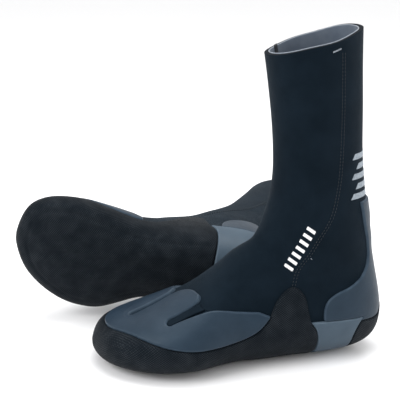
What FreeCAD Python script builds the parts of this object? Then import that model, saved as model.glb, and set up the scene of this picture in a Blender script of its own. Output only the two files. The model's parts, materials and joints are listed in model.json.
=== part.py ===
import FreeCAD, Part
import math
import os

# A pair of round-toe neoprene water boots: the left one stands, the right one
# lies on its outer side.  Millimetres, Z up.  One boot is built in its own
# frame (x from the heel back to the toe, y to the outer side, z up from the
# floor), cut into its real pieces, then placed; the right boot is its mirror.

# ---------------------------------------------------------------- sizes
foot_length = 280.0          # neoprene foot, back line of the heel to toe tip
heel_swell = 5.0             # the heel stands this far behind its back line
cuff_height = 308.0          # middle of the cuff edge above the floor
cuff_tilt = 15.0             # degrees the cuff edge rises toward the calf
cuff_depth = 92.0            # front to back at the cuff
cuff_width = 78.0            # side to side at the cuff
shin_x_at_cuff = 119.5       # front of the shaft at the cuff
shin_x_at_ankle = 108.5      # front of the shaft just above the instep
shin_x_mid = 110.5           # front of the shaft half way up
tendon_x_low = 11.5          # back of the shaft above the heel
tendon_x_mid = 18.0
calf_x = 23.0                # back of the shaft half way up
ball_outer = 60.0            # half width at the little-toe joint
ball_inner = 54.0            # half width at the big-toe joint
waist_outer = 41.0           # half widths at the arch
waist_inner = 37.0
heel_half_width = 38.0
shaft_half_width = 35.5      # narrowest part above the ankle
toe_box_height = 55.0        # top of the foot 56 mm behind the toe tip
instep_x = 146.0             # the foot turns into the shaft about this point
instep_z = 132.0

neoprene_thickness = 5.0     # foam and lining together
lining_thickness = 0.8       # knitted lining laminated to the inside
sock_clearance = 4.5         # underside of the neoprene above the floor
rubber_thickness = 2.8       # moulded shell round the foot
sole_extra = 2.6             # shell is thicker than that under the foot
toe_cap_thickness = 4.0      # raised lobes over the toes
heel_overlay_thickness = 2.4
print_thickness = 0.3
seam_thickness = 0.4
seam_width = 2.6
tape_thickness = 0.6

ankle_x = 66.0               # ankle bend, a line from side to side
ankle_z = 84.0
gusset_angle = 30.0          # opening of the bending wedges, degrees
body_gap = 0.35              # clearance between foot and shaft bodies

left_turn = 11.5             # standing boot turned about the vertical
left_x, left_y = 155.8, -94.4
right_turn = 0.0             # lying boot turned about the vertical
right_rock = 6.2             # its toe tips up: it rests on ball, heel and cuff
right_roll = -1.5
right_x, right_y = 66.0, -48.0
right_bend = 24.0            # its empty shaft flops back at the ankle

bar_count = 7                # plain printed bars along the ankle seam
bar_width = 3.2
bar_height = 9.0
calf_bar_count = 5           # plain bars at the back of the calf
calf_bar_pitch = 9.5
calf_bar_height = 5.5

shaft_names = ["shaft_front", "shaft_rear", "lining_shaft", "side_seams", "ankle_print",
               "calf_print", "cuff_bartack", "cuff_tape", "achilles_strip"]
ring_points = 24             # points round each cross section
foot_rings, heel_rings, shaft_rings = 13, 10, 9

V = FreeCAD.Vector


# ---------------------------------------------------------------- curves
def smooth_through(keys):
    """A curve through (position, value) keys that never overshoots them."""
    xs = [k[0] for k in keys]
    ys = [k[1] for k in keys]
    n = len(xs)
    h = [xs[i + 1] - xs[i] for i in range(n - 1)]
    d = [(ys[i + 1] - ys[i]) / h[i] for i in range(n - 1)]
    m = [d[0]]
    for i in range(1, n - 1):
        if d[i - 1] * d[i] <= 0:
            m.append(0.0)
        else:
            a = 2 * h[i] + h[i - 1]
            b = h[i] + 2 * h[i - 1]
            m.append((a + b) / (a / d[i - 1] + b / d[i]))
    m.append(d[-1])

    def value(x):
        if x <= xs[0]:
            return ys[0]
        if x >= xs[-1]:
            return ys[-1]
        i = 0
        while xs[i + 1] < x:
            i += 1
        t = (x - xs[i]) / h[i]
        return (ys[i] * (1 + 2 * t) * (1 - t) ** 2 + m[i] * h[i] * t * (1 - t) ** 2
                + ys[i + 1] * t * t * (3 - 2 * t) + m[i + 1] * h[i] * t * t * (t - 1))
    return value


# Distances along the boot: toe to instep, round the heel (90), up the shaft.
instep_s = foot_length - instep_x
shaft_s = instep_s + 90.0
cuff_s = shaft_s + cuff_height - instep_z

top_of_foot = smooth_through([
    (0, 23.5), (3, 30), (9, 37), (20, 43), (36, toe_box_height - 7), (56, toe_box_height),
    (78, toe_box_height + 10), (100, instep_z - 53), (118, instep_z - 39),
    (instep_s, instep_z - 24)])
under_foot = smooth_through([
    (0, 16.5), (3, 13), (9, 9.5), (20, 7), (40, sock_clearance + 0.7), (64, sock_clearance),
    (300, sock_clearance)])
heel_profile = [
    (instep_x, sock_clearance), (100, sock_clearance), (60, sock_clearance),
    (36, sock_clearance + 0.4), (18, 6.6), (8 - heel_swell, 11.5), (1 - heel_swell, 21),
    (-heel_swell, 33), (3 - heel_swell, 50), (3.5, 70), (9, 92), (tendon_x_low, 115),
    (tendon_x_low + 1, instep_z)]
heel_reach = smooth_through([
    (math.degrees(math.atan2(instep_x - x, instep_z - z)), math.hypot(instep_x - x, instep_z - z))
    for x, z in heel_profile])
instep_reach = smooth_through([(0, 24), (22, 20), (45, 19), (68, 22), (90, 26)])
front_of_shaft = smooth_through([
    (instep_z, instep_x - 26), (instep_z + 22, instep_x - 33), (instep_z + 50, shin_x_at_ankle),
    (instep_z + 100, shin_x_mid), (cuff_height, shin_x_at_cuff)])
back_of_shaft = smooth_through([
    (instep_z, tendon_x_low + 1), (instep_z + 30, tendon_x_mid), (instep_z + 75, calf_x),
    (cuff_height, shin_x_at_cuff - cuff_depth)])
outer_half = smooth_through([
    (0, 6), (3, 17), (9, 30), (20, 42), (38, 53), (60, ball_outer - 0.5), (82, ball_outer),
    (108, 51), (instep_s, waist_outer), (instep_s + 25, waist_outer - 1.5),
    (instep_s + 48, heel_half_width), (instep_s + 62, heel_half_width),
    (instep_s + 78, heel_half_width - 1), (shaft_s, shaft_half_width + 0.5),
    (shaft_s + 40, shaft_half_width), (shaft_s + 90, shaft_half_width + 1.5),
    (cuff_s, cuff_width / 2)])
inner_half = smooth_through([
    (0, 6), (3, 20), (9, 33), (20, 43), (38, 51), (60, ball_inner), (82, ball_inner - 3),
    (108, 44), (instep_s, waist_inner), (instep_s + 25, waist_inner + 0.3),
    (instep_s + 48, heel_half_width - 0.5), (instep_s + 62, heel_half_width),
    (instep_s + 78, heel_half_width - 1), (shaft_s, shaft_half_width + 0.5),
    (shaft_s + 40, shaft_half_width), (shaft_s + 90, shaft_half_width + 1.5),
    (cuff_s, cuff_width / 2)])
toe_offset = smooth_through([(0, -14), (20, -11), (60, -4), (100, 0), (cuff_s, 0)])
lower_squareness = smooth_through([
    (0, 2.2), (60, 2.1), (instep_s, 2.25), (instep_s + 54, 2.2), (shaft_s, 2.2), (cuff_s, 2.0)])
upper_squareness = smooth_through([
    (0, 2.0), (60, 2.15), (instep_s, 1.9), (shaft_s, 2.0), (cuff_s, 2.0)])
widest_share = smooth_through([
    (0, 0.5), (30, 0.6), (80, 0.66), (instep_s, 0.7), (instep_s + 50, 0.6), (shaft_s, 0.5),
    (cuff_s, 0.5)])
ridge_shift = smooth_through([
    (0, 0), (60, -4), (instep_s, -6), (shaft_s, -1), (cuff_s, 0)])


def quarter(width, reach, power, lean, going_up, count):
    """Evenly spaced points along one quarter of a rounded section."""
    fine = []
    for k in range(61):
        a = math.pi / 2 * k / 60
        c, s = (math.cos(a), math.sin(a)) if going_up else (math.sin(a), math.cos(a))
        c, s = max(c, 0.0), max(s, 0.0)
        fine.append((width * c ** (2 / power) + lean * s * s, reach * s ** (2 / power)))
    run = [0.0]
    for k in range(60):
        run.append(run[-1] + math.hypot(fine[k + 1][0] - fine[k][0], fine[k + 1][1] - fine[k][1]))
    points = []
    k = 0
    for i in range(count):
        want = run[-1] * i / count
        while run[k + 1] < want:
            k += 1
        t = (want - run[k]) / (run[k + 1] - run[k])
        points.append(tuple(fine[k][j] + t * (fine[k + 1][j] - fine[k][j]) for j in (0, 1)))
    return points


def section(kind, v):
    """One closed ring of points; v is the distance from the toe for a "foot" ring,
    the angle turned for a "heel" ring and the height above the instep for "shaft"."""
    if kind == "foot":
        s, start, way = v, (foot_length - v, instep_z), (0.0, -1.0)
        near, far = instep_z - top_of_foot(v), instep_z - under_foot(v)
    elif kind == "heel":
        a = math.radians(v)
        s, start, way = instep_s + v, (instep_x, instep_z), (-math.sin(a), -math.cos(a))
        near, far = instep_reach(v), heel_reach(v)
    else:
        z = instep_z + v
        s, start, way = shaft_s + v, (instep_x, z), (-1.0, 0.0)
        near, far = instep_x - front_of_shaft(z), instep_x - back_of_shaft(z)
    middle = near + (far - near) * widest_share(s)
    up, low = upper_squareness(s), lower_squareness(s)
    per = ring_points // 4
    quarters = [
        quarter(outer_half(s), near - middle, up, ridge_shift(s), True, per),
        quarter(-inner_half(s), near - middle, up, ridge_shift(s), False, per),
        quarter(-inner_half(s), far - middle, low, 0.0, True, per),
        quarter(outer_half(s), far - middle, low, 0.0, False, per)]
    ring = []
    for points in quarters:
        for across, along in points:
            r = middle + along
            x, z = start[0] + way[0] * r, start[1] + way[1] * r
            if kind == "shaft":
                share = (v / (cuff_height - instep_z)) ** 1.5
                z += (math.tan(math.radians(cuff_tilt)) * share
                      * (shin_x_at_cuff - cuff_depth / 2 - x))
            ring.append(V(x, across + toe_offset(s), z))
    return ring


def boot_rings():
    rings = []
    last = foot_rings - 1
    for i in range(foot_rings):
        rings.append(section("foot", instep_s * (1 - math.cos(math.pi / 2 * i / last)) ** 0.9))
    last = heel_rings - 1
    for i in range(1, heel_rings):
        rings.append(section("heel", 90.0 * i / last))
    last = shaft_rings - 1
    for i in range(1, shaft_rings):
        rings.append(section("shaft", (cuff_height - instep_z) * i / last))
    return rings


def cuff_direction(rings):
    """Unit vector out of the cuff, square to its edge."""
    ring = rings[-1]
    third = len(ring) // 3
    up = ring[third].sub(ring[0]).cross(ring[2 * third].sub(ring[0]))
    up.normalize()
    return up if up.z > 0 else V(up).multiply(-1)


def ring_normals(rings):
    """Outward directions; the toe ring and the cuff ring stay in their planes."""
    n, m = len(rings), len(rings[0])
    cuff_up = cuff_direction(rings)
    out = []
    for i in range(n):
        row = []
        for j in range(m):
            a = rings[min(i + 1, n - 1)][j].sub(rings[max(i - 1, 0)][j])
            b = rings[i][(j + 1) % m].sub(rings[i][j - 1])
            d = b.cross(a)
            if i == 0:
                d = V(1, 0, 0)
            elif i == n - 1:
                d = d.sub(V(cuff_up).multiply(d.dot(cuff_up)))
            d.normalize()
            row.append(d)
        out.append(row)
    waist = foot_rings - 1
    middle = V(0, 0, 0)
    for p in rings[waist]:
        middle = middle.add(p)
    middle.multiply(1.0 / m)
    if out[waist][0].dot(rings[waist][0].sub(middle)) < 0:
        for i in range(1, n):
            for j in range(m):
                out[i][j].multiply(-1)
    return out


def skin_solid(rings):
    """A closed solid whose surface follows the rings, flat at both ends."""
    n, m = len(rings), len(rings[0])
    surface = Part.BSplineSurface()
    surface.buildFromPolesMultsKnots(
        rings, [4] + [1] * (n - 4) + [4], [1] * (m + 1),
        [float(k) for k in range(n - 2)], [float(k) for k in range(m + 1)],
        False, True, 3, 3)
    face = surface.toShape()
    ends = [e for e in face.Edges if e.isClosed()]
    caps = [Part.Face(Part.Wire([e])) for e in ends]
    shell = Part.makeShell([face] + caps)
    shell.sewShape()
    solid = Part.makeSolid(shell)
    if solid.Volume < 0:
        solid.reverse()
    return solid


def outside(rings, distance, under_extra=0.0):
    """The boot's outer surface moved outward, more so under the sole."""
    moved = []
    for ring, row in zip(rings, ring_normals(rings)):
        moved.append([p.add(V(d).multiply(distance + under_extra * max(0.0, -d.z) ** 2))
                      for p, d in zip(ring, row)])
    return skin_solid(moved)


def inside(rings, distance):
    """The surface moved inward: starts behind the toe, runs out past the cuff."""
    first = 3
    normals = ring_normals(rings)
    moved = []
    for i in range(first, len(rings)):
        row = []
        for p, d in zip(rings[i], normals[i]):
            d = V(d)
            if i == first:
                d.x = 0
                d.normalize()
            row.append(p.sub(d.multiply(distance)))
        moved.append(row)
    past_cuff = cuff_direction(rings).multiply(8)
    moved.append([p.add(past_cuff) for p in moved[-1]])
    return skin_solid(moved)


def inside_to_cuff(rings, distance):
    """The same, trimmed off in the plane of the cuff edge."""
    solid = inside(rings, distance)
    top = Part.makeBox(300, 200, 60, V(-150, -100, 0))
    top.Placement = FreeCAD.Placement(
        V(shin_x_at_cuff - cuff_depth / 2, 0, cuff_height),
        FreeCAD.Rotation(V(0, 1, 0), cuff_tilt))
    return solid.cut(top)


# ---------------------------------------------------------------- cutters
def side_block(pieces, y0=-110.0, y1=110.0):
    """A block across the boot whose outline is drawn in side view.

    Each entry is a list of (x, z) points; two points make a straight edge,
    more make a smooth curve; the entries join up end to end."""
    edges = []
    for points in pieces:
        vs = [V(x, y0, z) for x, z in points]
        if len(vs) == 2:
            edges.append(Part.makeLine(vs[0], vs[1]))
        else:
            curve = Part.BSplineCurve()
            curve.interpolate(vs)
            edges.append(curve.toShape())
    return Part.Face(Part.Wire(edges)).extrude(V(0, y1 - y0, 0))


def plan_block(pieces, z0=-20.0, z1=200.0):
    """The same with an outline of (x, y) points seen from above."""
    edges = []
    for points in pieces:
        vs = [V(x, y, z0) for x, y in points]
        if len(vs) == 2:
            edges.append(Part.makeLine(vs[0], vs[1]))
        else:
            curve = Part.BSplineCurve()
            curve.interpolate(vs)
            edges.append(curve.toShape())
    return Part.Face(Part.Wire(edges)).extrude(V(0, 0, z1 - z0))


def slot(x0, y0, x1, y1, radius, z0=44.0, z1=120.0):
    """A round-ended slot seen from above."""
    a = math.atan2(y1 - y0, x1 - x0)
    box = Part.makeBox(math.hypot(x1 - x0, y1 - y0), 2 * radius, z1 - z0, V(0, -radius, 0))
    box.rotate(V(0, 0, 0), V(0, 0, 1), math.degrees(a))
    box.translate(V(x0, y0, z0))
    ends = [Part.makeCylinder(radius, z1 - z0, V(x, y, z0)) for x, y in ((x0, y0), (x1, y1))]
    return box.fuse(ends)


def straight(*points):
    """Straight edges joining the points."""
    return [[points[i], points[i + 1]] for i in range(len(points) - 1)]


toe_x = foot_length + 20.0
shell_rear = [(80, -8), (72, 8), (71, 22), (74, 37), (79, 44.5)]
shell_tab_up = [(79, 44.5), (82, 57), (86, 72), (96, 80), (106, 75), (113, 67), (119, 54)]
shell_top = [(119, 54), (130, 42), (142, 36), (158, 33), (187, 32.5), (212, 34), (235, 37.5),
             (255, 39.5), (272, 37), (290, 32)]
heel_front = [(42, -8), (36, 12), (33, 30), (28, 41)]
heel_top = [(28, 41), (16, 40), (6, 42), (2, 50), (-12, 54)]
overlay_front = [(66, 44.5), (66.5, 52), (64, 63), (56, 71), (42, 77), (30, 84)]
strip_front = [(30, 84), (22, 95), (20, 108), (24, 130), (31, 158)]
seam_line = [(98, 70), (95, 83), (91, 97), (82, 111), (74, 125), (67, 136), (61, 148),
             (57, 165), (54.5, 185), (54, 215), (54.5, 250), (56, 295), (58, 335)]

forefoot_region = side_block(
    [shell_rear, shell_tab_up, shell_top]
    + straight((290, 32), (toe_x, 32), (toe_x, -8), (80, -8)))
arch_region = side_block(
    [heel_front] + straight((28, 41), (26, 44.5), (79, 44.5))
    + [list(reversed(shell_rear))] + straight((80, -8), (42, -8)))
heel_region = side_block(
    [heel_front, heel_top] + straight((-12, 54), (-12, -8), (42, -8)))
overlay_region = side_block(
    [overlay_front] + straight((30, 84), (-12, 84), (-12, 54))
    + [list(reversed(heel_top))] + straight((28, 41), (26, 44.5), (66, 44.5)))
strip_region = side_block(
    [strip_front] + straight((31, 158), (-12, 158), (-12, 84), (30, 84)))
above_shell = side_block(
    [[(119, 54)] + shell_top[1:]]
    + straight((290, 32), (toe_x, 32), (toe_x, 140), (119, 140), (119, 54)))

# Toe cap: the front with three lobes, the outer two running back along the sides.
cap_front = plan_block([
    [(216, -70), (214, -30), (212, -12), (206, 1), (197, 16), (190, 28), (196, 36), (206, 44),
     (212, 70)]] + straight((212, 70), (toe_x, 70), (toe_x, -70), (216, -70)))
outer_lobe = side_block(
    [[(220, 53), (206, 54), (190, 61), (180, 65), (164, 64.5), (148, 62), (134, 60), (119, 54)]]
    + straight((119, 54), (119, 20), (230, 20), (230, 53), (220, 53)), 26, 110)
inner_lobe = side_block(
    [[(226, 62), (212, 63), (196, 61), (180, 57), (165, 51), (152, 42)]]
    + straight((152, 42), (152, 20), (236, 20), (236, 62), (226, 62)), -110, -12)
gap_outer = slot(180, 33, 213, 32, 2.6)
gap_inner = slot(200, -11, 246, -4, 1.5)

below_ankle = Part.makeBox(500, 240, ankle_z + 60, V(-120, -120, -60))
rise = math.tan(math.radians(gusset_angle))


def above_v(lift):
    """Everything above the two slanted planes through the ankle line."""
    return side_block(straight(
        (-100, ankle_z + lift + rise * (ankle_x + 100)), (ankle_x, ankle_z + lift),
        (260, ankle_z + lift + rise * (260 - ankle_x)), (260, 400), (-100, 400),
        (-100, ankle_z + lift + rise * (ankle_x + 100))))


shaft_zone = above_v(body_gap / math.cos(math.radians(gusset_angle)))
front_wedge = side_block(straight(
    (ankle_x, ankle_z), (260, ankle_z), (260, ankle_z + rise * (260 - ankle_x)),
    (ankle_x, ankle_z)))
rear_wedge = side_block(straight(
    (ankle_x, ankle_z), (-100, ankle_z), (-100, ankle_z + rise * (ankle_x + 100)),
    (ankle_x, ankle_z)))
front_of_seam = side_block(
    [seam_line] + straight((58, 335), (300, 335), (300, -20), (98, -20), (98, 70)))
seam_band = side_block(
    [[(x - seam_width / 2, z) for x, z in seam_line]]
    + straight((58 - seam_width / 2, 335), (58 + seam_width / 2, 335))
    + [[(x + seam_width / 2, z) for x, z in reversed(seam_line)]]
    + straight((98 + seam_width / 2, 70), (98 - seam_width / 2, 70)))


# ---------------------------------------------------------------- layers
upright = boot_rings()
foam_thickness = neoprene_thickness - lining_thickness
sock_out = outside(upright, 0.0)
hollow = inside(upright, neoprene_thickness)
foam = sock_out.cut(inside(upright, foam_thickness))
lining = inside_to_cuff(upright, foam_thickness).cut(hollow)
floor_up = Part.makeBox(700, 300, 500, V(-200, -150, 0))
rubber = outside(upright, rubber_thickness, sole_extra).common(floor_up).cut(sock_out)
cap_layer = outside(upright, toe_cap_thickness).cut(sock_out)
heel_layer = outside(upright, heel_overlay_thickness).cut(sock_out)
print_layer = outside(upright, print_thickness).cut(sock_out)
seam_layer = outside(upright, seam_thickness).cut(sock_out)
tape_layer = inside_to_cuff(upright, neoprene_thickness).cut(
    inside(upright, neoprene_thickness + tape_thickness))
whole_wall = sock_out.cut(hollow)

pieces = {}
pieces["forefoot_shell"] = rubber.common(forefoot_region)
pieces["arch_panel"] = rubber.common(arch_region)
pieces["heel_cup"] = rubber.common(heel_region)
pieces["heel_overlay"] = heel_layer.common(overlay_region)
strip = heel_layer.common(strip_region)
pieces["achilles_gusset"] = strip.common(rear_wedge)
pieces["achilles_strip"] = strip.common(shaft_zone)
cap = cap_layer.common(above_shell).common(cap_front.fuse([outer_lobe, inner_lobe]))
pieces["toe_cap"] = cap.cut(gap_outer.fuse(gap_inner))
foot_foam = foam.common(below_ankle)
pieces["vamp"] = foot_foam.common(front_of_seam)
pieces["quarter"] = foot_foam.cut(front_of_seam)
pieces["ankle_gusset_front"] = whole_wall.common(front_wedge)
pieces["ankle_gusset_rear"] = whole_wall.common(rear_wedge)
shaft_foam = foam.common(shaft_zone)
pieces["shaft_front"] = shaft_foam.common(front_of_seam)
pieces["shaft_rear"] = shaft_foam.cut(front_of_seam)
pieces["lining_foot"] = lining.common(below_ankle)
pieces["lining_shaft"] = lining.common(shaft_zone)
seams = seam_layer.common(seam_band)
pieces["side_seams"] = seams.common(shaft_zone)


def slanted_bars(count, x0, z0, x1, z1, thick, tall):
    """Short leaning bars across a line in side view, evenly spaced along it."""
    lean = 1.2
    long = math.hypot(x1 - x0, z1 - z0)
    ux, uz = (x1 - x0) / long, (z1 - z0) / long
    bars = []
    for i in range(count):
        d = long * i / (count - 1)
        cx, cz = x0 + ux * d, z0 + uz * d
        corners = [(-thick / 2, 0), (thick / 2, 0), (thick / 2 + lean, tall),
                   (-thick / 2 + lean, tall)]
        outline = [(cx + ux * a + uz * b, cz + uz * a - ux * b) for a, b in corners]
        bars.append(side_block(straight(*(outline + outline[:1])), 0, 110))
    return bars[0].fuse(bars[1:])


ankle_bars = slanted_bars(bar_count, 96, 96, 77, 133, bar_width, bar_height)
ankle_mark = print_layer.common(ankle_bars)
pieces["ankle_print_low"] = ankle_mark.common(front_wedge)
pieces["ankle_print"] = ankle_mark.common(shaft_zone)
calf_bars = []
for i in range(calf_bar_count):
    foot_z = 162 + i * calf_bar_pitch
    top_z = foot_z + calf_bar_height
    reach = 42 - 5 * (i % 2)        # every other bar wraps less far round the calf
    calf_bars.append(side_block(straight(
        (-20, foot_z), (reach, foot_z), (reach - 3, top_z), (-20, top_z), (-20, foot_z))))
pieces["calf_print"] = print_layer.common(calf_bars[0].fuse(calf_bars[1:]))
pieces["cuff_bartack"] = seam_layer.common(side_block(straight(
    (59, 303), (67, 300.5), (67.7, 302.8), (59.7, 305.3), (59, 303)), 0, 110))
pieces["cuff_tape"] = tape_layer.common(side_block(straight(
    (104, 262), (110, 262), (110, 340), (104, 340), (104, 262)), -110, 0))


# ------------------------------------------------- the relaxed, lying boot
def flopped(point, bend):
    """Turn a point back about the ankle line, fully above the wedges, not at all below."""
    dx, dz = point.x - ankle_x, point.z - ankle_z
    height = math.degrees(math.atan2(dz, abs(dx)))
    share = min(max(height / gusset_angle, 0.0), 1.0)
    a = math.radians(bend) * share * share * (3 - 2 * share)
    return V(ankle_x + dx * math.cos(a) - dz * math.sin(a), point.y,
             ankle_z + dx * math.sin(a) + dz * math.cos(a))


def wedge(start, end):
    """A wedge-shaped block between two directions out of the ankle line, in degrees."""
    reach = 220.0
    steps = 4
    corners = [(ankle_x, ankle_z)]
    for i in range(steps + 1):
        a = math.radians(start + (end - start) * i / steps)
        corners.append((ankle_x + reach * math.cos(a), ankle_z + reach * math.sin(a)))
    return side_block(straight(*(corners + corners[:1])))


bent = [[flopped(p, right_bend) for p in ring] for ring in upright]
bent_wall = outside(bent, 0.0).cut(inside(bent, neoprene_thickness))
bent_heel = outside(bent, heel_overlay_thickness).cut(outside(bent, 0.0))
bent_print = outside(bent, print_thickness).cut(outside(bent, 0.0))
bent_front = wedge(0.0, gusset_angle + right_bend)
bent_rear = wedge(180.0, 180.0 - gusset_angle + right_bend)
relaxed = {}
for piece_name, shape in pieces.items():
    if piece_name in shaft_names:
        shape = shape.copy()
        shape.rotate(V(ankle_x, 0, ankle_z), V(0, 1, 0), -right_bend)
    relaxed[piece_name] = shape
relaxed["ankle_gusset_front"] = bent_wall.common(bent_front)
relaxed["ankle_gusset_rear"] = bent_wall.common(bent_rear)
relaxed["achilles_gusset"] = bent_heel.common(strip_region).common(bent_rear)
relaxed["ankle_print_low"] = bent_print.common(ankle_bars).common(bent_front)


# ---------------------------------------------------------------- placing
def placement(turn, rock, roll, x, y, lying):
    """Where a boot goes: lying puts its toe to -X and its shaft along +Y."""
    t, r, w = math.radians(turn), math.radians(rock), math.radians(roll)
    about_z = FreeCAD.Matrix(math.cos(t), -math.sin(t), 0, 0, math.sin(t), math.cos(t), 0, 0,
                             0, 0, 1, 0, 0, 0, 0, 1)
    about_y = FreeCAD.Matrix(math.cos(r), 0, math.sin(r), 0, 0, 1, 0, 0,
                             -math.sin(r), 0, math.cos(r), 0, 0, 0, 0, 1)
    about_x = FreeCAD.Matrix(1, 0, 0, 0, 0, math.cos(w), -math.sin(w), 0,
                             0, math.sin(w), math.cos(w), 0, 0, 0, 0, 1)
    if lying:
        base = FreeCAD.Matrix(-1, 0, 0, 0, 0, 0, 1, 0, 0, 1, 0, 0, 0, 0, 0, 1)
    else:
        base = FreeCAD.Matrix(-1, 0, 0, 0, 0, -1, 0, 0, 0, 0, 1, 0, 0, 0, 0, 1)
    m = about_z * about_y * about_x * base
    m.A14, m.A24 = x, y
    return FreeCAD.Placement(m)


def placed(shape, where):
    copy = shape.copy()
    copy.Placement = where.multiply(copy.Placement)
    return copy


def extent(shapes):
    """Smallest box round the shapes, from a fine mesh of each."""
    low, high = [1e9] * 3, [-1e9] * 3
    for shape in shapes:
        for p in shape.tessellate(0.15)[0]:
            for k, c in enumerate((p.x, p.y, p.z)):
                low[k], high[k] = min(low[k], c), max(high[k], c)
    return low, high


mirrored = {name: shape.mirror(V(0, 0, 0), V(0, 1, 0)) for name, shape in relaxed.items()}
left_place = placement(left_turn, 0, 0, left_x, left_y, False)
right_place = placement(right_turn, right_rock, right_roll, right_x, right_y, True)
left = {"left_" + k: placed(s, left_place) for k, s in pieces.items()}
right = {"right_" + k: placed(s, right_place) for k, s in mirrored.items()}
right_low = extent(right.values())[0]
lift = V(0, 0, -right_low[2])
for shape in right.values():
    shape.translate(lift)
everything = dict(left)
everything.update(right)
low, high = extent(everything.values())
centre = V(-(low[0] + high[0]) / 2, -(low[1] + high[1]) / 2, 0)

os.makedirs("parts", exist_ok=True)
for name, shape in everything.items():
    shape.translate(centre)
    shape.exportStep("parts/" + name + ".step")
    print(name, len(shape.Solids), round(shape.Volume), shape.isValid())

print("size", [round(b - a, 2) for a, b in zip(low, high)])
for side, where, extra, sign in (("left", left_place, V(0, 0, 0), 1),
                                 ("right", right_place, lift, -1)):
    move = extra.add(centre)
    p = where.multVec(V(ankle_x, 0, ankle_z)).add(move)
    flop = right_bend if sign < 0 else 0.0
    axis = where.Rotation.multVec(V(0, 1, 0))
    print(side, "ankle", [round(c, 3) for c in p], "axis", [round(c, 5) for c in axis])
    for label, point in (("leg", flopped(V(67, 0, 200), flop)), ("foot", V(125, -2 * sign, 30)),
                         ("sole", V(140, 0, 0)), ("heel back", V(0, 0, 40))):
        q = where.multVec(point).add(move)
        print(side, label, [round(c, 3) for c in q])
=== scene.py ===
# %% [markdown]
# A pair of round-toe neoprene water boots.  The left boot stands and the right
# one lies on its outer side behind it.  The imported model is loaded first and
# stays where it is; everything that shows is made here, in metres, in the same
# frame.  The boot is worked out once, in millimetres, in its own frame: x from
# the heel back to the toe, y to the outer side, z up from the floor.

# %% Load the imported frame
import json
import math
import bpy
import numpy as np
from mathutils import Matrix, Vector
from mathutils.bvhtree import BVHTree


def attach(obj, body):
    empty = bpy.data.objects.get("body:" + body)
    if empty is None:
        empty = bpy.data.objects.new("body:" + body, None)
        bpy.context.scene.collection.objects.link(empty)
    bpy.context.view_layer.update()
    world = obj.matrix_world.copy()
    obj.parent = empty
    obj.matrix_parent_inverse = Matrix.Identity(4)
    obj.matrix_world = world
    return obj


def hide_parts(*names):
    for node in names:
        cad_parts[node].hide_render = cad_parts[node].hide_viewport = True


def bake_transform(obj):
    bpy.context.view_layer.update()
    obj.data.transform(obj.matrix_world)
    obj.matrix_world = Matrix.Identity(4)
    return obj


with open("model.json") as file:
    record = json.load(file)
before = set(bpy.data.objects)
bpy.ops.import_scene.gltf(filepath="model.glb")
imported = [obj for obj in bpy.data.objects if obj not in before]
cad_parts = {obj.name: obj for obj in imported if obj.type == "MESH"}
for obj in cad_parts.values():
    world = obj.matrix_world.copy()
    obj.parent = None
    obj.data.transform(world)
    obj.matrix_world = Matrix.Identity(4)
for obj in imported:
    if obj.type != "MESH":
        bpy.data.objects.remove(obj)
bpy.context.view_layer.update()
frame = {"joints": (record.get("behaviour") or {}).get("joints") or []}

# %% [markdown]
# These are the sizes a boot maker would put on the pattern card, in
# millimetres: the last's length, the cuff, the half widths of the foot and the
# thickness of every layer.  Every curve below is drawn from them, so that the
# soft pieces lie exactly where the engineered ones are.

# %% Sizes of the boot
foot_length, heel_swell, cuff_height, cuff_tilt = 280.0, 5.0, 308.0, 15.0
cuff_depth, cuff_width = 92.0, 78.0
shin_x_at_cuff, shin_x_at_ankle, shin_x_mid = 119.5, 108.5, 110.5
tendon_x_low, tendon_x_mid, calf_x = 11.5, 18.0, 23.0
ball_outer, ball_inner, waist_outer, waist_inner = 60.0, 54.0, 41.0, 37.0
heel_half_width, shaft_half_width = 38.0, 35.5
toe_box_height, instep_x, instep_z = 55.0, 146.0, 132.0
foam_thickness, neoprene_thickness, sock_clearance = 4.2, 5.0, 4.5
rubber_thickness, sole_extra = 2.8, 2.6
toe_cap_thickness, heel_overlay_thickness = 4.0, 2.4
ankle_x, ankle_z, gusset_angle, right_bend = 66.0, 84.0, 30.0, 24.0
left_turn, right_rock, right_roll = 11.5, 6.2, -1.5
ring_points = 24
instep_s = foot_length - instep_x
shaft_s = instep_s + 90.0
cuff_s = shaft_s + cuff_height - instep_z
print("distance from toe to cuff along the boot", cuff_s)

# %% [markdown]
# A last is drawn with French curves: each passes through a few measured points
# without overshooting between them.  This helper does the same.  A cubic is
# fitted between neighbouring points, with slopes chosen so that no bump
# appears that the points don't have.

# %% Curves through measured points
def smooth_through(keys):
    xs, ys = [k[0] for k in keys], [k[1] for k in keys]
    h = [b - a for a, b in zip(xs, xs[1:])]
    d = [(ys[i + 1] - ys[i]) / h[i] for i in range(len(h))]
    m = [d[0]]
    for i in range(1, len(h)):
        if d[i - 1] * d[i] <= 0:
            m.append(0.0)
        else:
            a, b = 2 * h[i] + h[i - 1], h[i] + 2 * h[i - 1]
            m.append((a + b) / (a / d[i - 1] + b / d[i]))
    m.append(d[-1])

    def value(x):
        if x <= xs[0]:
            return ys[0]
        if x >= xs[-1]:
            return ys[-1]
        i = max(k for k in range(len(h)) if xs[k] < x)
        t = (x - xs[i]) / h[i]
        return (ys[i] * (1 + 2 * t) * (1 - t) ** 2 + m[i] * h[i] * t * (1 - t) ** 2
                + ys[i + 1] * t * t * (3 - 2 * t) + m[i + 1] * h[i] * t * t * (t - 1))
    return value

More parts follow.
